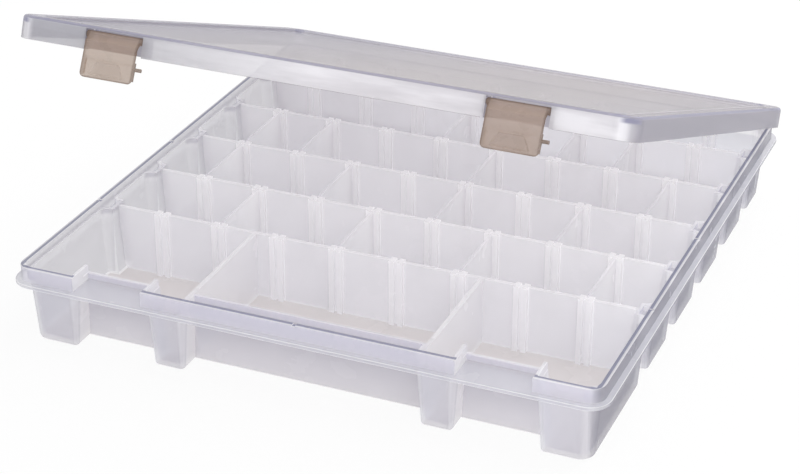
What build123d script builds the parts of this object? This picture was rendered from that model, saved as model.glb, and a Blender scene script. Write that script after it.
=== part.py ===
from build123d import *
from math import radians, tan
import os

# A flat compartment storage box for craft parts: a moulded tray with fixed walls, lift out
# dividers that drop between rib pairs, a shallow hinged lid and two swinging latches.
# Millimetres. The origin is the middle of the underside, X to the right, Y to the hinges.
# The lid is drawn shut and then swung open about its hinge line, and so are the latches.

# Overall outline of the tray's rim
rim_width = 387.0
rim_depth = 404.5
rim_corner = 14.0
rim_thick = 2.5
rim_top = 43.0
rim_round = 0.6

# Upstanding lip that the lid closes over
lip_inset = 3.75
lip_thick = 3.6
lip_top = 52.7
lip_round = 0.7
nick_width = 2.4
nick_depth = 0.8
nick_ys = (-97.4, 1.7)

# Tapered tray body under the rim
body_inset = 10.2
body_corner = 9.0
body_wall = 2.0
floor_thick = 2.0
draft = 4.3
inner_top = 47.4
foot_radius = 2.2
pier_radius = 2.7

# Front of the tray: two piers stand between three set back stretches
front_setback = 15.9
pier_width = 19.9
bay_margin = 3.8

# Rows of compartments and the gaps between the side piers, one gap at each long wall
row_pitch = 59.45
row_count = 6
first_wall_y = -89.9
side_gap = 18.4
side_setback = 7.0
block_overlap = 14.0
inner_wall = 2.0

# Slots for the lift out dividers
slot_from_side = 48.25
slot_count = 8
slot_gap = 2.2
rib_width = 3.4
rib_proud = 2.3

# Fixed cross walls of the front row, close to the inner side of the piers
cross_shift = 0.7
cross_thick = 2.4

# Lift out dividers, by row and slot, counted from the front left
divider_thick = 1.7
divider_end_gap = 0.35
divider_floor_gap = 0.3
divider_corner = 2.0
divider_round = 0.4
divider_slots = {2: (2, 4, 6, 8), 3: (1, 3, 5, 7), 4: (1, 2, 5, 8), 5: (4, 6, 7)}

# Lid
lid_gap = 0.5
lid_height = 14.3
lid_wall = 1.8
lid_roof = 1.8
lid_edge_radius = 2.4
skirt_round = 0.5
panel_inset = 11.0
panel_drop = 1.5
panel_corner = 8.0

# Latches, their pockets in the lid and their bays in the tray
latch_from_side = 68.0
latch_width = 34.0
latch_side_gap = 2.0
latch_corner = 3.0
pocket_depth = 12.3
pocket_corner = 3.0
bay_width = 47.0
pivot_back = 2.25
pivot_drop = 3.2
barrel_radius = 2.3
barrel_end_gap = 0.6
trunnion_radius = 1.3
trunnion_play = 0.06
trunnion_end_gap = 0.3
plate_thick = 1.8
plate_gap = 0.65
plate_reach = 25.8
neck_reach = 4.2
hook_gap = 0.6
hook_under = 1.05
hook_height = 2.2
wing_thick = 1.4
wing_drop = 11.0
peg_radius = 1.1
peg_length = 4.2
peg_below_rim = 4.5
scoop_width = 24.0
scoop_height = 8.5
scoop_depth = 0.8
scoop_margin = 1.8
scoop_slope = 62
scoop_draft = 40

# Hinges
hinge_back = 8.7
hinge_from_side = 63.5
hinge_bar_radius = 1.65
hinge_play = 0.07
knuckle_radius = 3.4
knuckle_length = 26.0
knuckle_gap = 0.4
ear_thick = 3.0
knuckle_slot = 2.6
neck_thick = 2.4

# Photographed pose
lid_open = 21.5
latch_ajar = 7.0

# Worked out sizes
rim_half_w = rim_width / 2
rim_half_d = rim_depth / 2
rim_bottom = rim_top - rim_thick
body_half_w = rim_half_w - body_inset
body_half_d = rim_half_d - body_inset
spread = tan(radians(draft))
row_clear = row_pitch - inner_wall
wall_ys = [first_wall_y + i * row_pitch for i in range(row_count - 1)]
slot_pitch = (rim_width - 2 * slot_from_side) / (slot_count - 1)
slot_xs = [-rim_half_w + slot_from_side + i * slot_pitch for i in range(slot_count)]
rear_inner_y = body_half_d - body_wall + floor_thick * spread
lid_bottom = rim_top + lid_gap
lid_top = lid_bottom + lid_height
roof_under = lid_top - lid_roof
hinge_y = rim_half_d + hinge_back
hinge_z = rim_top
latch_x = rim_half_w - latch_from_side
hinge_x = rim_half_w - hinge_from_side
bay_near = latch_x - bay_width / 2
bay_far = latch_x + bay_width / 2
pier_outer = bay_near - bay_margin
pier_inner = pier_outer - pier_width
block_inner = bay_far + bay_margin
cross_x = pier_inner - cross_shift
pivot_y = -rim_half_d + pivot_back
pivot_z = roof_under - pivot_drop
pocket_width = latch_width + 2 * latch_side_gap


def body_blocks():
    # Plan limits of the convex blocks that make up the tray body: x0, x1, y0, y1
    front = -body_half_d
    core_front = front + front_setback
    core_side = body_half_w - side_setback
    gap_edges = [y + dy for y in wall_ys for dy in (-side_gap / 2, side_gap / 2)]
    blocks = [(-core_side, core_side, core_front, body_half_d - block_overlap),
              (-body_half_w, body_half_w, gap_edges[-1], body_half_d)]
    pier_edges = [front] + gap_edges[:-1]
    for side in (-1, 1):
        blocks.append((side * pier_inner, side * pier_outer, front, core_front + block_overlap))
        for i in range(0, len(pier_edges), 2):
            inner_x = block_inner if i == 0 else core_side - block_overlap
            blocks.append((side * inner_x, side * body_half_w, pier_edges[i], pier_edges[i + 1]))
    return [(min(x0, x1), max(x0, x1), y0, y1) for x0, x1, y0, y1 in blocks]


def tapered_blocks(inset, base_z, height):
    # The blocks drawn in by an inset, each with rounded uprights and a rounded foot
    shapes = []
    for x0, x1, y0, y1 in body_blocks():
        with BuildPart() as block:
            with BuildSketch(Plane.XY.offset(base_z)):
                with Locations(((x0 + x1) / 2, (y0 + y1) / 2)):
                    RectangleRounded(x1 - x0 - 2 * inset, y1 - y0 - 2 * inset, pier_radius)
                RectangleRounded(2 * (body_half_w - inset), 2 * (body_half_d - inset),
                                 body_corner - inset, mode=Mode.INTERSECT)
            extrude(amount=height, taper=-draft)
            fillet(block.faces().sort_by(Axis.Z)[0].edges(), foot_radius)
        shapes.append(block.part)
    return shapes


# Solid block that bounds the tray body and its inner walls
outer_blocks = tapered_blocks(0, 0, inner_top)
with BuildPart() as tray_block:
    add(outer_blocks)

# Long walls, cross walls and slot ribs, trimmed by the block
with BuildPart() as inner_walls:
    with BuildSketch(Plane.XY.offset(floor_thick / 2)):
        with Locations(*[(0, y) for y in wall_ys]):
            Rectangle(rim_width, inner_wall)
        cross_front = -rim_half_d
        for side in (-1, 1):
            with Locations((side * cross_x, (cross_front + wall_ys[0]) / 2)):
                Rectangle(cross_thick, wall_ys[0] - cross_front)
        rib_x = (slot_gap + rib_width) / 2
        rib_y = (inner_wall + rib_proud) / 2
        rib_spots = [(x + dx, y + dy) for x in slot_xs for y in wall_ys
                     for dx in (-rib_x, rib_x) for dy in (-rib_y, rib_y)]
        with Locations(*rib_spots):
            Rectangle(rib_width, rib_proud)
        rear_rib_depth = rib_proud + body_wall
        with Locations(*[(x + dx, rear_inner_y - rib_proud + rear_rib_depth)
                         for x in slot_xs for dx in (-rib_x, rib_x)]):
            Rectangle(rib_width, 2 * rear_rib_depth)
    extrude(amount=inner_top - floor_thick / 2)
    add(tray_block.part, mode=Mode.INTERSECT)

# Rim plate
with BuildPart() as rim_plate:
    with BuildSketch(Plane.XY.offset(rim_bottom)):
        RectangleRounded(rim_width, rim_depth, rim_corner)
    extrude(amount=rim_thick)
    fillet(rim_plate.faces().filter_by(Axis.Z).edges(), rim_round)

# Lip, cut at the two latch bays and carried back to the body on both sides of each bay
with BuildPart() as lip:
    with BuildSketch(Plane.XY.offset(rim_top - rim_thick / 2)):
        lip_w = rim_width - 2 * lip_inset
        lip_d = rim_depth - 2 * lip_inset
        RectangleRounded(lip_w, lip_d, rim_corner - lip_inset)
        RectangleRounded(lip_w - 2 * lip_thick, lip_d - 2 * lip_thick,
                         rim_corner - lip_inset - lip_thick, mode=Mode.SUBTRACT)
        body_grow = inner_top * spread
        return_back = -body_half_d + front_setback - body_grow + body_wall / 2
        return_front = -rim_half_d + lip_inset
        for side in (-1, 1):
            with Locations((side * latch_x, -rim_half_d)):
                Rectangle(bay_width, 2 * pocket_depth, mode=Mode.SUBTRACT)
            for x0, x1 in ((pier_outer + body_grow - body_wall, bay_near),
                           (bay_far, block_inner - body_grow + body_wall)):
                with Locations((side * (x0 + x1) / 2, (return_front + return_back) / 2)):
                    Rectangle(x1 - x0, return_back - return_front)
    extrude(amount=lip_top - rim_top + rim_thick / 2)
    fillet(lip.faces().sort_by(Axis.Z)[-1].edges(), lip_round)
    # Shallow nicks across the lip
    with BuildSketch(Plane.XY.offset(lip_top - nick_depth)):
        with Locations((0, -rim_half_d)):
            Rectangle(nick_width, 2 * pocket_depth)
        with Locations(*[(side * rim_half_w, y) for side in (-1, 1) for y in nick_ys]):
            Rectangle(2 * pocket_depth, nick_width)
    extrude(amount=nick_depth, mode=Mode.SUBTRACT)

# Tray: body, rim, lip, inner walls and hinge ears in one moulding
cavity_blocks = tapered_blocks(body_wall - floor_thick * spread, floor_thick, inner_top)
with BuildPart() as tray:
    add(tray_block.part)
    add(rim_plate.part)
    add(cavity_blocks, mode=Mode.SUBTRACT)
    add(lip.part)
    add(inner_walls.part)
    # Hinge ears and the bar between each pair
    ear_x = (knuckle_length + ear_thick) / 2 + knuckle_gap
    for x in (-hinge_x, 0, hinge_x):
        for dx in (-ear_x, ear_x):
            with BuildSketch(Plane.YZ.offset(x + dx - ear_thick / 2)):
                with BuildLine():
                    Polyline((rim_half_d - rim_thick, rim_bottom), (hinge_y, hinge_z - knuckle_radius),
                             (hinge_y, hinge_z + knuckle_radius), (rim_half_d + rim_thick, rim_top),
                             (rim_half_d - rim_thick, rim_top), close=True)
                make_face()
                with Locations((hinge_y, hinge_z)):
                    Circle(knuckle_radius)
            extrude(amount=ear_thick)
        with BuildSketch(Plane.YZ.offset(x - ear_x)):
            with Locations((hinge_y, hinge_z)):
                Circle(hinge_bar_radius)
        extrude(amount=2 * ear_x)

# Lid, drawn shut
with BuildPart() as shut_lid:
    with BuildSketch(Plane.XY.offset(lid_bottom)):
        RectangleRounded(rim_width, rim_depth, rim_corner)
    extrude(amount=lid_height)
    fillet(shut_lid.faces().sort_by(Axis.Z)[-1].edges(), lid_edge_radius)
    with BuildSketch(Plane.XY.offset(lid_top)):
        RectangleRounded(rim_width - 2 * panel_inset, rim_depth - 2 * panel_inset, panel_corner)
    extrude(amount=-panel_drop, mode=Mode.SUBTRACT)
    with BuildSketch(Plane.XY.offset(lid_bottom)):
        RectangleRounded(rim_width - 2 * lid_wall, rim_depth - 2 * lid_wall, rim_corner - lid_wall)
    extrude(amount=roof_under - lid_bottom, mode=Mode.SUBTRACT)
    fillet(shut_lid.edges().group_by(Axis.Z)[0], skirt_round)
    step_inset = panel_inset - lid_wall
    with BuildSketch(Plane.XY.offset(lid_top - panel_drop)):
        RectangleRounded(rim_width - 2 * step_inset, rim_depth - 2 * step_inset, panel_corner + lid_wall)
    extrude(amount=-lid_roof)
    # Pockets that house the latches
    for side in (-1, 1):
        shell_depth = pocket_depth + lid_wall
        with BuildSketch(Plane.XY.offset(lid_bottom)) as shell_plan:
            with Locations((side * latch_x, -rim_half_d + shell_depth / 2)):
                Rectangle(pocket_width + 2 * lid_wall, shell_depth)
            fillet(shell_plan.vertices().group_by(Axis.Y)[-1], pocket_corner + lid_wall)
        extrude(amount=roof_under - lid_bottom)
        with BuildSketch(Plane.XY.offset(lid_bottom)):
            with Locations((side * latch_x, -rim_half_d)):
                RectangleRounded(pocket_width, 2 * pocket_depth, pocket_corner)
        extrude(amount=roof_under - lid_bottom, mode=Mode.SUBTRACT)
        socket_reach = pocket_width / 2 + lid_wall
        with BuildSketch(Plane.YZ.offset(side * latch_x - socket_reach)):
            with Locations((pivot_y, pivot_z)):
                Circle(trunnion_radius + trunnion_play)
        extrude(amount=2 * socket_reach, mode=Mode.SUBTRACT)
    # Hinge knuckles, split below so that they press over the bars
    for x in (-hinge_x, 0, hinge_x):
        with BuildSketch(Plane.YZ.offset(x - knuckle_length / 2)):
            with Locations((hinge_y, hinge_z)):
                Circle(knuckle_radius)
            neck_front = rim_half_d - lid_wall
            neck_z = hinge_z + knuckle_radius - neck_thick / 2
            with Locations(((neck_front + hinge_y) / 2, neck_z)):
                Rectangle(hinge_y - neck_front, neck_thick)
            with Locations((hinge_y, hinge_z)):
                Circle(hinge_bar_radius + hinge_play, mode=Mode.SUBTRACT)
            with Locations((hinge_y, hinge_z - knuckle_radius)):
                Rectangle(knuckle_slot, 2 * knuckle_radius, mode=Mode.SUBTRACT)
        extrude(amount=knuckle_length)

hinge_line = Axis((0, hinge_y, hinge_z), (-1, 0, 0))
with BuildPart() as lid:
    add(shut_lid.part.rotate(hinge_line, lid_open))


def make_latch(side):
    # One latch drawn shut over the rim, then swung ajar and carried up with the lid
    centre = side * latch_x
    inner_y = -rim_half_d - plate_gap
    outer_y = inner_y - plate_thick
    foot_z = pivot_z - plate_reach
    tip_y = -rim_half_d + hook_under
    hook_top = rim_bottom - hook_gap
    half = latch_width / 2
    with BuildPart() as latch:
        with BuildSketch(Plane.YZ.offset(centre - half)):
            with BuildLine():
                Polyline((outer_y, foot_z), (outer_y, pivot_z - neck_reach),
                         (pivot_y - barrel_radius, pivot_z), (pivot_y, pivot_z - barrel_radius / 2),
                         (inner_y, pivot_z - neck_reach - plate_thick / 2), (inner_y, foot_z), close=True)
            make_face()
        extrude(amount=latch_width)
        fillet(latch.edges().filter_by(Axis.Y).group_by(Axis.Z)[0], latch_corner)
        # Barrel along the top edge, with a trunnion at each end
        barrel_half = pocket_width / 2 - barrel_end_gap
        trunnion_half = pocket_width / 2 + lid_wall - trunnion_end_gap
        for reach, radius in ((barrel_half, barrel_radius), (trunnion_half, trunnion_radius)):
            with BuildSketch(Plane.YZ.offset(centre - reach)):
                with Locations((pivot_y, pivot_z)):
                    Circle(radius)
            extrude(amount=2 * reach)
        # Catch ridge that hooks under the rim, with a ramp below it
        with BuildSketch(Plane.YZ.offset(centre - half)):
            with BuildLine():
                Polyline((inner_y, hook_top), (tip_y, hook_top), (tip_y, hook_top - hook_height / 2),
                         (inner_y, hook_top - hook_height), close=True)
            make_face()
        extrude(amount=latch_width)
        # Side wings behind the plate, and a peg that points out from the right hand one
        for wing_start in (centre - half, centre + half - wing_thick):
            with BuildSketch(Plane.YZ.offset(wing_start)):
                with Locations(((inner_y - plate_thick / 2 + tip_y) / 2, hook_top - wing_drop / 2)):
                    Rectangle(tip_y - inner_y + plate_thick / 2, wing_drop)
            extrude(amount=wing_thick)
        with BuildSketch(Plane.YZ.offset(centre + half - wing_thick / 2)):
            with Locations(((inner_y + tip_y) / 2, rim_bottom - peg_below_rim)):
                Circle(peg_radius)
        extrude(amount=peg_length + wing_thick / 2)
        # Finger scoop low on the front face
        scoop_z = foot_z + scoop_margin + scoop_height / 2
        with BuildSketch(Plane(origin=(centre, outer_y, scoop_z), x_dir=(1, 0, 0), z_dir=(0, -1, 0))):
            Trapezoid(scoop_width, scoop_height, scoop_slope)
        extrude(amount=-scoop_depth, taper=scoop_draft, mode=Mode.SUBTRACT)
    pivot_line = Axis((0, pivot_y, pivot_z), (-1, 0, 0))
    return latch.part.rotate(pivot_line, latch_ajar).rotate(hinge_line, lid_open)


def make_divider(row, slot):
    # A flat panel that stands in one pair of slots, between two long walls
    back_wall = wall_ys[row - 1]
    height = inner_top - floor_thick - divider_floor_gap
    with BuildPart() as divider:
        with BuildSketch(Plane.YZ.offset(slot_xs[slot - 1] - divider_thick / 2)) as panel:
            with Locations((back_wall - row_pitch / 2, inner_top - height / 2)):
                Rectangle(row_clear - 2 * divider_end_gap, height)
            fillet(panel.vertices().group_by(Axis.Z)[0], divider_corner)
        extrude(amount=divider_thick)
        fillet(divider.edges().filter_by(Axis.Y).group_by(Axis.Z)[-1], divider_round)
    return divider.part


os.makedirs("parts", exist_ok=True)
lid.part.label = "lid"
export_step(lid.part, "parts/lid.step")
tray.part.label = "tray"
export_step(tray.part, "parts/tray.step")
for name, side in (("latch_left", -1), ("latch_right", 1)):
    latch_part = make_latch(side)
    latch_part.label = name
    export_step(latch_part, "parts/" + name + ".step")
for row, slots in divider_slots.items():
    for slot in slots:
        divider_part = make_divider(row, slot)
        divider_part.label = "divider_row" + str(row) + "_slot" + str(slot)
        export_step(divider_part, "parts/" + divider_part.label + ".step")
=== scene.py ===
from math import radians

import bmesh
import bpy
from mathutils import Matrix, Vector

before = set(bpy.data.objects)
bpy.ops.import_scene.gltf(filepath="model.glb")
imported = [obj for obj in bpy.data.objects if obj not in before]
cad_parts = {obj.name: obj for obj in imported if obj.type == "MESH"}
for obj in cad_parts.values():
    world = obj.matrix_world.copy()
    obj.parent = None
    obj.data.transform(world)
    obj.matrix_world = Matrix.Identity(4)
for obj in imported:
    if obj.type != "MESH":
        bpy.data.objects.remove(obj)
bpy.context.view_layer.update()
scene = bpy.context.scene
scene.view_settings.view_transform = "Standard"
plainWhite = (1, 1, 1, 1)


def addNode(tree, kind, inputs=None, **settings):
    # one shader node with its settings and plain input values
    node = tree.nodes.new(kind)
    for key, value in settings.items():
        setattr(node, key, value)
    for key, value in (inputs or {}).items():
        node.inputs[key].default_value = value
    return node


def newMaterial(name):
    material = bpy.data.materials.new(name)
    material.use_nodes = True
    material.node_tree.nodes.clear()
    return material, material.node_tree


def feed(tree, value, socket):
    # links an output on to a socket, or sets a plain value there
    if isinstance(value, bpy.types.NodeSocket):
        tree.links.new(value, socket)
    else:
        socket.default_value = value


def calc(tree, operation, *values):
    # a Math node on outputs or plain numbers
    node = addNode(tree, "ShaderNodeMath", operation=operation)
    for socket, value in zip(node.inputs, values):
        feed(tree, value, socket)
    return node.outputs[0]


def size(tree, value):
    return calc(tree, "ABSOLUTE", value)


def less(tree, first, second):
    return calc(tree, "SUBTRACT", first, second)


def ramp(tree, value, low, high, toLow=0.0, toHigh=1.0, smooth=False):
    # maps low..high of an output to toLow..toHigh, clamped
    node = addNode(tree, "ShaderNodeMapRange",
                   {"From Min": low, "From Max": high, "To Min": toLow, "To Max": toHigh},
                   interpolation_type="SMOOTHSTEP" if smooth else "LINEAR")
    tree.links.new(value, node.inputs["Value"])
    return node.outputs["Result"]


def partsOf(tree, vector):
    # the three parts of a vector, under X, Y and Z
    node = addNode(tree, "ShaderNodeSeparateXYZ")
    tree.links.new(vector, node.inputs[0])
    return node.outputs


def blendColor(tree, factor, first, second):
    # a colour between two, by a factor
    node = addNode(tree, "ShaderNodeMix", data_type="RGBA")
    for index, value in ((0, factor), (6, first), (7, second)):
        feed(tree, value, node.inputs[index])
    return node.outputs[2]


def blendShaders(tree, factor, first, second):
    # a shader between two, by a factor
    node = addNode(tree, "ShaderNodeMixShader")
    for index, value in ((0, factor), (1, first.outputs[0]), (2, second.outputs[0])):
        feed(tree, value, node.inputs[index])
    return node


def putOut(tree, kind, shader):
    tree.links.new(shader.outputs[0], addNode(tree, kind).inputs["Surface"])


# camera at the photograph's viewing angle
photoCamera = {"place": (0.47873, -1.18143, 0.67880), "azimuth": 22.677, "elevation": 27.452,
               "roll": 0.174, "lens": 96.5, "sensor": 36.0, "clip": (0.05, 30)}


def makeCamera(s):
    data = bpy.data.cameras.new("photoCamera")
    data.lens, data.sensor_width = s["lens"], s["sensor"]
    data.clip_start, data.clip_end = s["clip"]
    camera = bpy.data.objects.new("photoCamera", data)
    scene.collection.objects.link(camera)
    turn = (Matrix.Rotation(radians(s["azimuth"]), 4, "Z")
            @ Matrix.Rotation(radians(90 - s["elevation"]), 4, "X")
            @ Matrix.Rotation(radians(s["roll"]), 4, "Z"))
    camera.matrix_world = Matrix.Translation(s["place"]) @ turn
    scene.camera = camera


makeCamera(photoCamera)
print("camera in place")

# floor, background and lamps: the world's light rises from horizon to zenith and falls off along
# the axes in falls, each by so much at so far, and a lamp has its name, place, size and power
studio = {"floorColor": (0.74, 0.74, 0.74, 1), "floorSize": 24, "floorDrop": 0.0004,
          "shadowShown": 0.09, "horizon": 0.90, "zenith": 0.95, "rise": (-0.1, 0.9),
          "falls": (("X", 0.9, 0.10), ("Y", -0.9, 0.10)), "least": 0.04, "aim": (0, 0, 0.05),
          "lamps": (("keyLamp", (0.9, 0.5, 2.3), 1.7, 18), ("backLamp", (0.6, 2.0, 1.7), 1.8, 30),
                    ("fillLamp", (1.2, -2.0, 1.4), 1.6, 15))}


def seenWhite(tree, cameraShare):
    # 1 for glossy and transmission rays, which see plain white, and a share of it for camera rays
    path = addNode(tree, "ShaderNodeLightPath").outputs
    mirrored = calc(tree, "MAXIMUM", path["Is Glossy Ray"], path["Is Transmission Ray"])
    direct = calc(tree, "MULTIPLY", path["Is Camera Ray"], cameraShare)
    return calc(tree, "MAXIMUM", mirrored, direct)


def makeFloor(s):
    bm = bmesh.new()
    bmesh.ops.create_grid(bm, x_segments=1, y_segments=1, size=s["floorSize"] / 2)
    bmesh.ops.translate(bm, verts=bm.verts, vec=(0, 0, -s["floorDrop"]))
    mesh = bpy.data.meshes.new("studioFloor")
    bm.to_mesh(mesh)
    bm.free()
    floor = bpy.data.objects.new("studioFloor", mesh)
    scene.collection.objects.link(floor)
    material, tree = newMaterial("studioFloor")
    matte = addNode(tree, "ShaderNodeBsdfDiffuse", {"Color": s["floorColor"]})
    white = addNode(tree, "ShaderNodeEmission", {"Color": plainWhite, "Strength": 1.0})
    shown = blendShaders(tree, seenWhite(tree, 1 - s["shadowShown"]), matte, white)
    putOut(tree, "ShaderNodeOutputMaterial", shown)
    mesh.materials.append(material)


def makeWorld(s):
    world = bpy.data.worlds.new("studioWorld")
    world.use_nodes = True
    scene.world = world
    tree = world.node_tree
    tree.nodes.clear()
    way = partsOf(tree, addNode(tree, "ShaderNodeTexCoord").outputs["Generated"])
    level = ramp(tree, way["Z"], *s["rise"], s["horizon"], s["zenith"], smooth=True)
    for axis, reach, fall in s["falls"]:
        level = less(tree, level, ramp(tree, way[axis], 0, reach, 0, fall, smooth=True))
    light = addNode(tree, "ShaderNodeBackground", {"Color": plainWhite})
    tree.links.new(calc(tree, "MAXIMUM", level, s["least"]), light.inputs["Strength"])
    plain = addNode(tree, "ShaderNodeBackground", {"Color": plainWhite, "Strength": 1.0})
    putOut(tree, "ShaderNodeOutputWorld", blendShaders(tree, seenWhite(tree, 1), light, plain))


def makeLamps(s):
    for name, place, width, power in s["lamps"]:
        data = bpy.data.lights.new(name, "AREA")
        data.shape, data.size, data.energy = "DISK", width, power
        lamp = bpy.data.objects.new(name, data)
        scene.collection.objects.link(lamp)
        lamp.location = place
        aim = Vector(s["aim"]) - Vector(place)
        lamp.rotation_euler = aim.to_track_quat("-Z", "Y").to_euler()


makeFloor(studio)
makeWorld(studio)
makeLamps(studio)
print("studio in place")


def near(tree, value, middle, reach, soft):
    # 1 within reach of middle, falling to 0 over soft
    return ramp(tree, size(tree, less(tree, value, middle)), reach + soft, reach)


def both(tree, *masks):
    # the product of two or more masks
    result = masks[0]
    for mask in masks[1:]:
        result = calc(tree, "MULTIPLY", result, mask)
    return result


def either(tree, *masks):
    # the largest of two or more masks
    result = masks[0]
    for mask in masks[1:]:
        result = calc(tree, "MAXIMUM", result, mask)
    return result


def opposite(tree, mask):
    return less(tree, 1, mask)


def pieceSpace(tree, pivot=(0, 0, 0), lean=0.0):
    # place and facing on a piece, measured from its pivot and turned back by its lean about X
    place = addNode(tree, "ShaderNodeMapping",
                    {"Location": pivot, "Rotation": (-radians(lean), 0, 0)}, vector_type="TEXTURE")
    facing = addNode(tree, "ShaderNodeVectorRotate", {"Angle": radians(lean)},
                     rotation_type="X_AXIS")
    coords = addNode(tree, "ShaderNodeTexCoord").outputs
    tree.links.new(coords["Object"], place.inputs["Vector"])
    tree.links.new(coords["Normal"], facing.inputs["Vector"])
    return partsOf(tree, place.outputs[0]), partsOf(tree, facing.outputs[0])


# what all the plastics share
plastic = {"refraction": 1.49, "facingBlend": 0.35, "bumpHeight": 0.0004, "edgeFacing": (0.2, 0.42),
           "mottle": {"Detail": 3.0, "Roughness": 0.55}, "grain": {"Detail": 2.0}}


def roundedEdges(tree, facing):
    # 1 on the rounded edges of a moulding, where it turns between two of its main faces
    products = [size(tree, calc(tree, "MULTIPLY", facing[i], facing[j]))
                for i, j in ((0, 1), (1, 2), (0, 2))]
    return ramp(tree, either(tree, *products), *plastic["edgeFacing"])


def noise(tree, vector, inputs):
    node = addNode(tree, "ShaderNodeTexNoise", inputs)
    tree.links.new(vector, node.inputs["Vector"])
    return node.outputs["Fac"]


def frostedPlastic(name, s, zones):
    # milky see through plastic: clear is the share seen straight through one surface, face on and
    # at a glancing angle, and through is the share of the rest that glows with light behind it
    material, tree = newMaterial(name)
    link = tree.links.new
    coords = addNode(tree, "ShaderNodeTexCoord").outputs["Object"]
    mottle = noise(tree, coords, dict(plastic["mottle"], Scale=s["mottle"]))
    grain = noise(tree, coords, dict(plastic["grain"], Scale=s["grain"]))
    weight = addNode(tree, "ShaderNodeLayerWeight", {"Blend": plastic["facingBlend"]})
    color, clear = zones(tree, s, blendColor(tree, mottle, s["color"], s["tint"]),
                         ramp(tree, weight.outputs["Facing"], 0, 1, *s["clear"]))
    bump = addNode(tree, "ShaderNodeBump",
                   {"Strength": s["bump"], "Distance": plastic["bumpHeight"]})
    link(grain, bump.inputs["Height"])
    surface = addNode(tree, "ShaderNodeBsdfPrincipled", {"IOR": plastic["refraction"]})
    link(color, surface.inputs["Base Color"])
    link(ramp(tree, mottle, 0, 1, *s["roughness"]), surface.inputs["Roughness"])
    link(bump.outputs["Normal"], surface.inputs["Normal"])
    glow = addNode(tree, "ShaderNodeBsdfTranslucent")
    link(color, glow.inputs["Color"])
    seenThrough = addNode(tree, "ShaderNodeBsdfTransparent", {"Color": s["passed"]})
    milky = blendShaders(tree, s["through"], surface, glow)
    putOut(tree, "ShaderNodeOutputMaterial", blendShaders(tree, clear, milky, seenThrough))
    return material


def lay(tree, look, mask, color, keep, strength=1.0):
    # lays a colour over a look where the mask is 1, and keeps that share of its clearness
    mask = calc(tree, "MULTIPLY", mask, strength)
    return (blendColor(tree, mask, look[0], color),
            calc(tree, "MULTIPLY", look[1], ramp(tree, mask, 0, 1, 1.0, keep)))


# tray, in metres: its finish and sizes, then the limits between which each mask goes from 0 to 1,
# where a Span is a middle, a reach and a softness and a Dull has the mask's values at the limits
# too, then for each zone, most of them painted light and shade, the colour, the clearness that it
# keeps and its strength
tray = {"color": (0.93, 0.925, 0.945, 1), "tint": (0.955, 0.95, 0.965, 1),
        "roughness": (0.20, 0.32),
        "clear": (0.60, 0.34), "passed": (0.985, 0.984, 0.99, 1), "through": 0.5,
        "mottle": 38, "grain": 900, "bump": 0.05,
        "halfWidth": 0.1935, "halfDepth": 0.20225, "firstWall": -0.0899, "rowPitch": 0.05945,
        "firstSlot": -0.14525, "slotPitch": 0.0415,
        "slotSpan": (0, 0.0047, 0.0006), "wallSpan": (0, 0.0034, 0.0002),
        "rearSpan": (0.1885, 0.0026, 0.0002), "ribsFromEnd": (0.011, 0.0125),
        "ribsFromSide": (0.0140, 0.0155),
        "upFacing": (0.6, 0.9), "uprightFacing": (0.6, 0.3), "awayFacing": (0.03, 0.09),
        "sideFacing": (0.4, 0.9), "leftFacing": (0.95, 0.75),
        "outerDepth": (0.0275, 0.0265), "sideDepth": (0.0125, 0.0115),
        "pierDepth": (0.0140, 0.0135), "pierEdgeDepth": (0.0135, 0.0125),
        "ledgeDepth": (0.027, 0.026), "cornerDepth": (0.032, 0.030),
        "topsDepth": (0.0165, 0.0175), "topsFromEnd": (0.030, 0.032), "topsAcross": (0.098, 0.1),
        "lipRise": (0.043, 0.0435), "pierTop": (0.042, 0.041), "floorLevel": (0.003, 0.0025),
        "lipTopLevel": (0.0515, 0.0519), "ledgeSpan": (0.043, 0.0004, 0.0003),
        "topsSpan": (0.0474, 0.0004, 0.0003), "lipLineSpan": (0.0064, 0.0011, 0.0005),
        "litRows": (-0.085, -0.03), "warmRow": (-0.0899, -0.0909), "frontRow": (-0.0859, -0.0939),
        "rearRows": (0.085, 0.12), "leftPart": (0.04, -0.12), "leftEnds": (-0.160, -0.168),
        "leftFace": (-0.1765, -0.1775),
        "cornerDull": (0, 1, 0.1, 0.85), "outerDull": 0.4, "pierEdgeDull": (0, 0.1, 0, 0.7),
        "rowLight": ((0.985, 0.98, 0.99, 1), 0.96), "lipFaceShade": ((0.72, 0.71, 0.80, 1), 0.8),
        "outerShade": ((0.60, 0.60, 0.66, 1), 1.0), "side": ((0.33, 0.33, 0.39, 1), 0.9),
        "pierShade": ((0.72, 0.72, 0.78, 1), 1.0, 0.8), "leftWall": ((0.72, 0.71, 0.74, 1), 1.0),
        "rearLeft": ((0.80, 0.78, 0.80, 1), 1.0, 0.55), "floor": ((0.74, 0.73, 0.76, 1), 0.55),
        "warmFloor": ((0.77, 0.735, 0.735, 1), 1.0), "frontRibs": ((0.98, 0.975, 0.99, 1), 0.45),
        "rearRibs": ((1.0, 0.995, 1.0, 1), 0.32), "tops": ((1.0, 0.995, 1.0, 1), 0.6, 0.5),
        "edges": ((1.0, 0.995, 1.0, 1), 0.5, 0.6), "lipTopShade": ((0.24, 0.25, 0.34, 1), 0.4)}


def nearWalls(tree, s, place):
    # 1 as far from the long walls as their ribs reach, and at the ribs of the rear wall
    fromWall = calc(tree, "PINGPONG", less(tree, place["Y"], s["firstWall"]), s["rowPitch"] / 2)
    return either(tree, near(tree, fromWall, *s["wallSpan"]),
                  near(tree, place["Y"], *s["rearSpan"]))


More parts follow.
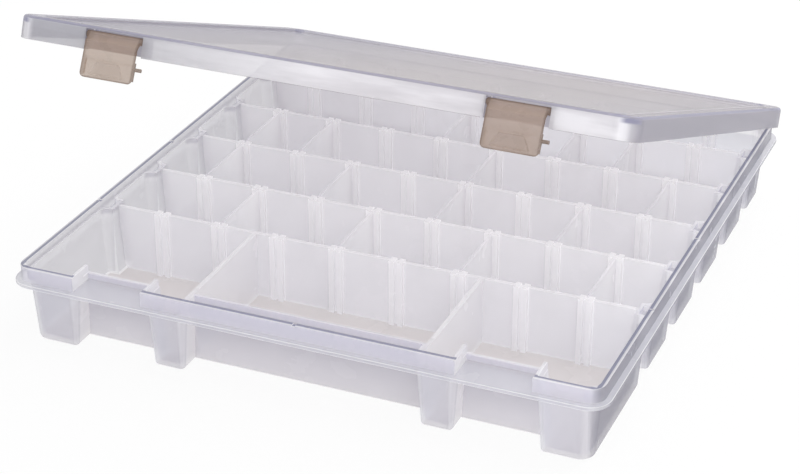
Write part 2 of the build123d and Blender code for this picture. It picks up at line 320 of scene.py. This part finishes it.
def trayZones(tree, s, color, clear):
    place, facing = pieceSpace(tree)
    across, along = size(tree, place["X"]), size(tree, place["Y"])
    fromSide = less(tree, s["halfWidth"], across)
    fromEnd = less(tree, s["halfDepth"], along)
    fromRim = calc(tree, "MINIMUM", fromSide, fromEnd)
    up = ramp(tree, facing["Z"], *s["upFacing"])
    upright = ramp(tree, size(tree, facing["Z"]), *s["uprightFacing"])
    # outer faces look away from the middle and stand near the rim
    sideways, endways = [
        both(tree, ramp(tree, calc(tree, "MULTIPLY", facing[axis], place[axis]), *s["awayFacing"]),
             ramp(tree, depth, *s["outerDepth"]))
        for axis, depth in (("X", fromSide), ("Y", fromEnd))]
    outside = both(tree, either(tree, sideways, endways), upright)
    # painted light: the rows behind the first are painted palest
    look = lay(tree, (color, clear), ramp(tree, place["Y"], *s["litRows"]), *s["rowLight"])
    # painted shade: outer walls are painted darker than the inside, and those of the two sides most
    onLip = ramp(tree, place["Z"], *s["lipRise"])
    look = lay(tree, look, both(tree, outside, onLip), *s["lipFaceShade"])
    look = lay(tree, look, both(tree, outside, opposite(tree, onLip)), *s["outerShade"])
    sides = both(tree, sideways, ramp(tree, fromSide, *s["sideDepth"]),
                 ramp(tree, size(tree, facing["X"]), *s["sideFacing"]))
    look = lay(tree, look, sides, *s["side"])
    # painted shade: the piers by the rim are painted darker
    piers = both(tree, upright, ramp(tree, fromRim, *s["pierDepth"]),
                 ramp(tree, place["Z"], *s["pierTop"]))
    look = lay(tree, look, both(tree, piers, opposite(tree, sides)), *s["pierShade"])
    # the left side, which the lamps reach least, is duller inside, and so are the rear rows by it
    leftEnds = both(tree, ramp(tree, place["X"], *s["leftEnds"]),
                    ramp(tree, size(tree, facing["Y"]), *s["leftFacing"]))
    leftWall = both(tree, upright, opposite(tree, outside),
                    either(tree, leftEnds, ramp(tree, place["X"], *s["leftFace"])))
    look = lay(tree, look, leftWall, *s["leftWall"])
    rearLeft = both(tree, ramp(tree, place["Y"], *s["rearRows"]), opposite(tree, outside),
                    ramp(tree, place["X"], *s["leftPart"], smooth=True))
    look = lay(tree, look, rearLeft, *s["rearLeft"])
    # painted shade: the ledge round the lip is painted as dark as the outer walls
    ledge = both(tree, up, near(tree, place["Z"], *s["ledgeSpan"]),
                 ramp(tree, fromRim, *s["ledgeDepth"]))
    look = lay(tree, look, ledge, *s["outerShade"])
    # floor, greyer and less clear, in part its milky plastic and in part painted shade, and warm in
    # the front row
    floor = both(tree, up, ramp(tree, place["Z"], *s["floorLevel"]))
    look = lay(tree, look, floor, *s["floor"])
    look = lay(tree, look, both(tree, floor, ramp(tree, place["Y"], *s["warmRow"])),
               *s["warmFloor"])
    # painted highlights: ribs and wall tops are painted brightest, and made milkier
    fromSlot = calc(tree, "PINGPONG", less(tree, place["X"], s["firstSlot"]), s["slotPitch"] / 2)
    ribs = both(tree, near(tree, fromSlot, *s["slotSpan"]), nearWalls(tree, s, place), upright,
                ramp(tree, fromEnd, *s["ribsFromEnd"]), ramp(tree, fromSide, *s["ribsFromSide"]))
    frontRow = ramp(tree, place["Y"], *s["frontRow"])
    look = lay(tree, look, both(tree, ribs, frontRow), *s["frontRibs"])
    look = lay(tree, look, both(tree, ribs, opposite(tree, frontRow)), *s["rearRibs"])
    tops = both(tree, near(tree, place["Z"], *s["topsSpan"]), ramp(tree, fromRim, *s["topsDepth"]),
                either(tree, ramp(tree, fromEnd, *s["topsFromEnd"]),
                       ramp(tree, across, *s["topsAcross"])))
    look = lay(tree, look, tops, *s["tops"])
    # painted highlights: rounded edges are painted brighter, but less so on the left wall, outside
    # and at the side piers
    corner = both(tree, ramp(tree, fromSide, *s["cornerDepth"]),
                  ramp(tree, fromEnd, *s["cornerDepth"]), outside,
                  ramp(tree, onLip, *s["cornerDull"]))
    pierEdges = both(tree, piers, ramp(tree, fromSide, *s["pierEdgeDepth"]),
                     ramp(tree, across, *s["pierEdgeDull"]))
    lessHighlight = either(tree, corner, leftWall, pierEdges,
                  calc(tree, "MULTIPLY", outside, s["outerDull"]))
    look = lay(tree, look, both(tree, roundedEdges(tree, facing), opposite(tree, lessHighlight)),
               *s["edges"])
    # painted shade: the inner half of the lip's top is painted dark and bluish, for the depth of
    # the wall below it seen through the plastic
    lipTopShade = both(tree, ramp(tree, place["Z"], *s["lipTopLevel"]), up,
                  near(tree, fromRim, *s["lipLineSpan"]))
    return lay(tree, look, lipTopShade, *s["lipTopShade"])


# dividers: as the tray, and each Part is a share of a row, from its front
divider = dict(tray, color=(0.97, 0.97, 0.98, 1), tint=(0.98, 0.98, 0.985, 1), clear=(0.62, 0.34),
               mottle=30, frontPart=(0.6, 0.0), rearPart=(0.35, 0.95), topFacing=(0.5, 0.9),
               frontEnd=((0.97, 0.97, 0.98, 1), 1.25), rearEnd=((1.0, 0.995, 1.0, 1), 0.5),
               inSlots=((0.98, 0.975, 0.99, 1), 0.6, 0.8), top=((0.93, 0.92, 0.95, 1), 1.1))


def dividerZones(tree, s, color, clear):
    # clearer towards the front end, milkier towards the rear one, with a faint top edge
    place, facing = pieceSpace(tree)
    rows = calc(tree, "DIVIDE", less(tree, place["Y"], s["firstWall"]), s["rowPitch"])
    part = calc(tree, "FRACT", rows)
    look = lay(tree, (color, clear), ramp(tree, part, *s["frontPart"], smooth=True), *s["frontEnd"])
    look = lay(tree, look, ramp(tree, part, *s["rearPart"], smooth=True), *s["rearEnd"])
    look = lay(tree, look, nearWalls(tree, s, place), *s["inSlots"])
    return lay(tree, look, ramp(tree, facing["Z"], *s["topFacing"]), *s["top"])


# lid, in the same order, measured in its shut place from the hinge line
lid = {"color": (0.42, 0.385, 0.395, 1), "tint": (0.44, 0.405, 0.415, 1), "roughness": (0.10, 0.20),
       "clear": (0.84, 0.30), "passed": (0.955, 0.945, 0.95, 1), "through": 0.4,
       "mottle": 10, "grain": 60, "bump": 0.002,
       "hinge": (0, 0.21095, 0.043), "open": 21.5, "halfWidth": 0.1935, "halfDepth": 0.20225,
       "middle": -0.21095,
       "leftShade": (0.03, -0.15), "rightShade": (0.11, 0.19, 0, 0.6), "skirtFacing": (0.8, 0.3),
       "skirtLevel": (0.0136, 0.013), "skirtShade": (0.0, -0.15), "sideFacing": (0.4, 0.98),
       "streakStretch": (16, 110, 110), "streakNoise": {"Scale": 1.0, "Detail": 3.0},
       "streakLevel": (0.35, 0.7), "streakFacing": (0.5, 0.2), "cornerSpan": (0.40, 0.12, 0.18),
       "edgeLevel": (0.010, 0.011), "lineSpan": (0.0098, 0.0005, 0.0004),
       "stepSpan": (0.0122, 0.0007, 0.0005),
       "panelShade": ((0.41, 0.40, 0.46, 1), 0.92, 0.8), "skirt": ((0.97, 0.965, 0.99, 1), 0.45),
       "streak": ((0.84, 0.83, 0.86, 1), 1.4), "shadedSkirt": ((0.56, 0.56, 0.60, 1), 1.0),
       "side": ((0.41, 0.40, 0.46, 1), 1.6), "corner": ((0.97, 0.965, 0.99, 1), 0.5, 0.8),
       "edges": ((0.36, 0.36, 0.48, 1), 0.6), "line": ((0.95, 0.94, 0.97, 1), 0.6, 0.7),
       "step": ((0.36, 0.36, 0.48, 1), 0.8, 0.6)}


def lidZones(tree, s, color, clear):
    place, facing = pieceSpace(tree, s["hinge"], s["open"])
    fromSide = less(tree, s["halfWidth"], size(tree, place["X"]))
    fromEnd = less(tree, s["halfDepth"], size(tree, less(tree, place["Y"], s["middle"])))
    fromRim = calc(tree, "MINIMUM", fromSide, fromEnd)
    turned = size(tree, facing["X"])
    # painted shade: the panel is painted darker towards its left end, and a little towards its
    # right
    panelShade = either(tree, ramp(tree, place["X"], *s["leftShade"]),
                  ramp(tree, place["X"], *s["rightShade"]))
    look = lay(tree, (color, clear), panelShade, *s["panelShade"])
    # frosted skirt with long streaks, painted near white, in part painted light where light comes
    # through it, with painted shade at the left end and along the two sides and a painted highlight
    # on its rounded corners
    skirt = both(tree, ramp(tree, size(tree, facing["Z"]), *s["skirtFacing"]),
                 ramp(tree, place["Z"], *s["skirtLevel"]))
    look = lay(tree, look, skirt, *s["skirt"])
    stretch = addNode(tree, "ShaderNodeMapping", {"Scale": s["streakStretch"]})
    tree.links.new(addNode(tree, "ShaderNodeTexCoord").outputs["Object"], stretch.inputs["Vector"])
    streak = noise(tree, stretch.outputs[0], s["streakNoise"])
    streaks = both(tree, skirt, ramp(tree, streak, *s["streakLevel"], smooth=True),
                   ramp(tree, turned, *s["streakFacing"]))
    look = lay(tree, look, streaks, *s["streak"])
    look = lay(tree, look, both(tree, skirt, ramp(tree, place["X"], *s["skirtShade"])),
               *s["shadedSkirt"])
    # painted shade along the two sides, and a painted highlight on the rounded corners
    look = lay(tree, look, both(tree, skirt, ramp(tree, turned, *s["sideFacing"])), *s["side"])
    look = lay(tree, look, both(tree, skirt, near(tree, turned, *s["cornerSpan"])), *s["corner"])
    # painted shade and highlight: the rolled edge and the step round the panel are painted as dark
    # bluish lines, with a painted highlight as a pale line between them
    rolled = both(tree, roundedEdges(tree, facing), ramp(tree, place["Z"], *s["edgeLevel"]))
    look = lay(tree, look, rolled, *s["edges"])
    look = lay(tree, look, near(tree, fromRim, *s["lineSpan"]), *s["line"])
    return lay(tree, look, near(tree, fromRim, *s["stepSpan"]), *s["step"])


# latches, in the same order, each measured from its pivot
latch = {"color": (0.50, 0.385, 0.31, 1), "tint": (0.56, 0.44, 0.36, 1), "roughness": (0.22, 0.34),
         "clear": (0.56, 0.22), "passed": (0.95, 0.925, 0.90, 1), "through": 0.4,
         "mottle": 120, "grain": 1400, "bump": 0.03,
         "pivots": {"latch_left": (-0.1255, -0.167813, 0.202732),
                    "latch_right": (0.1255, -0.167813, 0.202732)},
         "lean": 28.5, "halfWidth": 0.017, "foot": -0.0258,
         "rimDepth": (0.0011, 0.0005), "pivotLevel": (0.0010, 0.0018),
         "scoopSpan": (0, 0.0065, 0.003), "scoopLevel": (-0.0145, -0.018),
         "rim": ((0.22, 0.15, 0.11, 1), 0.6, 0.7), "atPivot": ((0.20, 0.15, 0.12, 1), 0.4, 0.8),
         "scoop": ((0.46, 0.355, 0.29, 1), 0.85, 0.5)}


def latchZones(tree, s, color, clear):
    # darker round the rim of the plate and at the pivot, and a little paler in the finger scoop,
    # which is less clear there and takes a slightly darker colour as painted shade in the recess
    place = pieceSpace(tree, s["pivot"], s["lean"])[0]
    fromSide = less(tree, s["halfWidth"], size(tree, place["X"]))
    fromRim = calc(tree, "MINIMUM", fromSide, less(tree, place["Z"], s["foot"]))
    look = lay(tree, (color, clear), ramp(tree, fromRim, *s["rimDepth"]), *s["rim"])
    look = lay(tree, look, ramp(tree, place["Z"], *s["pivotLevel"]), *s["atPivot"])
    scoop = both(tree, near(tree, place["X"], *s["scoopSpan"]),
                 ramp(tree, place["Z"], *s["scoopLevel"]))
    return lay(tree, look, scoop, *s["scoop"])


def dress(node, material):
    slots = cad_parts[node].data.materials
    slots.clear()
    slots.append(material)


dress("tray", frostedPlastic("frostedTray", tray, trayZones))
dress("lid", frostedPlastic("clearLid", lid, lidZones))
for nodeName, pivot in latch["pivots"].items():
    dress(nodeName, frostedPlastic("taupe" + nodeName, dict(latch, pivot=pivot), latchZones))
dividerPlastic = frostedPlastic("frostedDivider", divider, dividerZones)
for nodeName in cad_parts:
    if nodeName.startswith("divider"):
        dress(nodeName, dividerPlastic)
print("finishes on")
